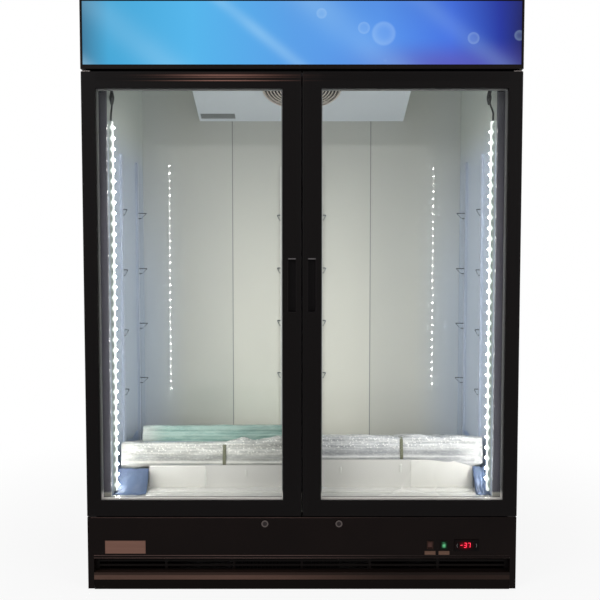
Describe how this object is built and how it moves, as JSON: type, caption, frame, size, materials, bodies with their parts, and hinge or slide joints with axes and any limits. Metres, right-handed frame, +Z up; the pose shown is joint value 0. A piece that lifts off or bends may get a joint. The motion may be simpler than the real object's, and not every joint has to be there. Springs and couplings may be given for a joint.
{
  "type": "glass door freezer",
  "caption": "Upright display freezer with hinged glass doors, lit sign header, louvred base with locks and controls, and loose wire shelves in film wraps on its deck.",
  "frame": {"origin": "centre of the floor under the cabinet, at the bottom of the feet", "axes": "+Z up, doors face -Y, +X to the right of someone facing the doors"},
  "size_m": [1.35, 0.76, 1.845],
  "materials": {
    "black_steel": "satin",
    "foam": "matte",
    "liner_white": "gloss",
    "duct_white": "gloss",
    "frame_grey": "satin",
    "rack_white": "satin",
    "clip_steel": "polished",
    "deck_white": "satin",
    "wrap_film": "gloss",
    "lamp_white": "gloss",
    "lead_black": "matte",
    "coil_aluminium": "satin",
    "motor_grey": "satin",
    "blade_plastic": "satin",
    "guard_wire": "satin",
    "sign_acrylic": "gloss",
    "door_black": "satin",
    "glass": "gloss",
    "spacer_aluminium": "satin",
    "gasket_black": "matte",
    "handle_black": "satin",
    "hinge_steel": "satin",
    "plate_copper": "satin",
    "lock_chrome": "polished",
    "plug_steel": "satin",
    "rocker_brown": "gloss",
    "rocker_green": "gloss",
    "controller_black": "satin",
    "key_grey": "matte",
    "pipe_copper": "satin"
  },
  "bodies": {
    "cabinet": {"base_frame": "black_steel", "base_panel": "black_steel", "blank_plates": "plate_copper", "bottom_panel": "black_steel", "centre_mullion": "frame_grey", "compressor": "motor_grey", "condenser_coil": "coil_aluminium", "condenser_fan_motor": "motor_grey", "controller": "controller_black", "cord_gland": "lead_black", "duct_panels": "duct_white", "evaporator_coil": "coil_aluminium", "evaporator_cover": "liner_white", "evaporator_fan_motor": "motor_grey", "face_frame": "frame_grey", "fan_guard": "guard_wire", "feet": "gasket_black", "floor_deck": "deck_white", "head_beam": "frame_grey", "header_housing": "black_steel", "hinge_brackets": "hinge_steel", "hinge_screws": "hinge_steel", "insulation": "foam", "kick_grille": "black_steel", "led_leads": "lead_black", "led_strips": "lamp_white", "liner_floor": "liner_white", "liner_panels": "liner_white", "lock_sleeves": "lock_chrome", "rear_grille": "black_steel", "rear_panel": "black_steel", "refrigerant_pipes": "pipe_copper", "shelf_clips": "clip_steel", "shelf_pilasters": "rack_white", "shelf_wraps": "wrap_film", "side_panels": "black_steel", "sign_lamps": "lamp_white", "sign_panel": "sign_acrylic", "switch_bezels": "handle_black", "top_panel": "black_steel", "wire_shelves": "rack_white"},
    "left_door": {"left_door_frame": "door_black", "left_door_gasket": "gasket_black", "left_door_handle": "handle_black", "left_door_panes": "glass", "left_door_spacer": "spacer_aluminium"},
    "right_door": {"right_door_frame": "door_black", "right_door_gasket": "gasket_black", "right_door_handle": "handle_black", "right_door_panes": "glass", "right_door_spacer": "spacer_aluminium"},
    "evaporator_fan": {"evaporator_fan_blade": "blade_plastic"},
    "condenser_fan": {"condenser_fan_blade": "blade_plastic"},
    "left_lock": {"left_lock_plug": "plug_steel"},
    "right_lock": {"right_lock_plug": "plug_steel"},
    "lamp_switch": {"lamp_rocker": "rocker_brown"},
    "power_switch": {"power_rocker": "rocker_green"},
    "left_key": {"left_controller_key": "key_grey"},
    "right_key": {"right_controller_key": "key_grey"}
  },
  "joints": [
    {"name": "left_door_swing", "type": "hinge", "parent": "cabinet", "child": "left_door", "pos_m": [-0.66, -0.358, 0.237], "axis": [0, 0, -1], "range_deg": [0, 110], "stiffness_Nm_per_rad": 1.5},
    {"name": "right_door_swing", "type": "hinge", "parent": "cabinet", "child": "right_door", "pos_m": [0.66, -0.358, 0.237], "axis": [0, 0, 1], "range_deg": [0, 110], "stiffness_Nm_per_rad": 1.5},
    {"name": "evaporator_fan_spin", "type": "hinge", "parent": "cabinet", "child": "evaporator_fan", "pos_m": [0, 0.022, 1.6522], "axis": [0, 0.3239, 0.9461], "continuous": true},
    {"name": "condenser_fan_spin", "type": "hinge", "parent": "cabinet", "child": "condenser_fan", "pos_m": [-0.05, -0.235, 0.1215], "axis": [0, 1, 0], "continuous": true},
    {"name": "left_lock_turn", "type": "hinge", "parent": "cabinet", "child": "left_lock", "pos_m": [-0.1165, -0.375, 0.212], "axis": [0, 1, 0], "range_deg": [0, 90]},
    {"name": "right_lock_turn", "type": "hinge", "parent": "cabinet", "child": "right_lock", "pos_m": [0.1165, -0.375, 0.212], "axis": [0, -1, 0], "range_deg": [0, 90]},
    {"name": "lamp_switch_rock", "type": "hinge", "parent": "cabinet", "child": "lamp_switch", "pos_m": [0.404, -0.368, 0.143], "axis": [1, 0, 0], "range_deg": [0, 20]},
    {"name": "power_switch_rock", "type": "hinge", "parent": "cabinet", "child": "power_switch", "pos_m": [0.448, -0.368, 0.143], "axis": [-1, 0, 0], "range_deg": [0, 20]},
    {"name": "left_key_press", "type": "slide", "parent": "cabinet", "child": "left_key", "axis": [0, 1, 0], "range_m": [0, 0.001], "stiffness_N_per_m": 400},
    {"name": "right_key_press", "type": "slide", "parent": "cabinet", "child": "right_key", "axis": [0, 1, 0], "range_m": [0, 0.001], "stiffness_N_per_m": 400}
  ]
}
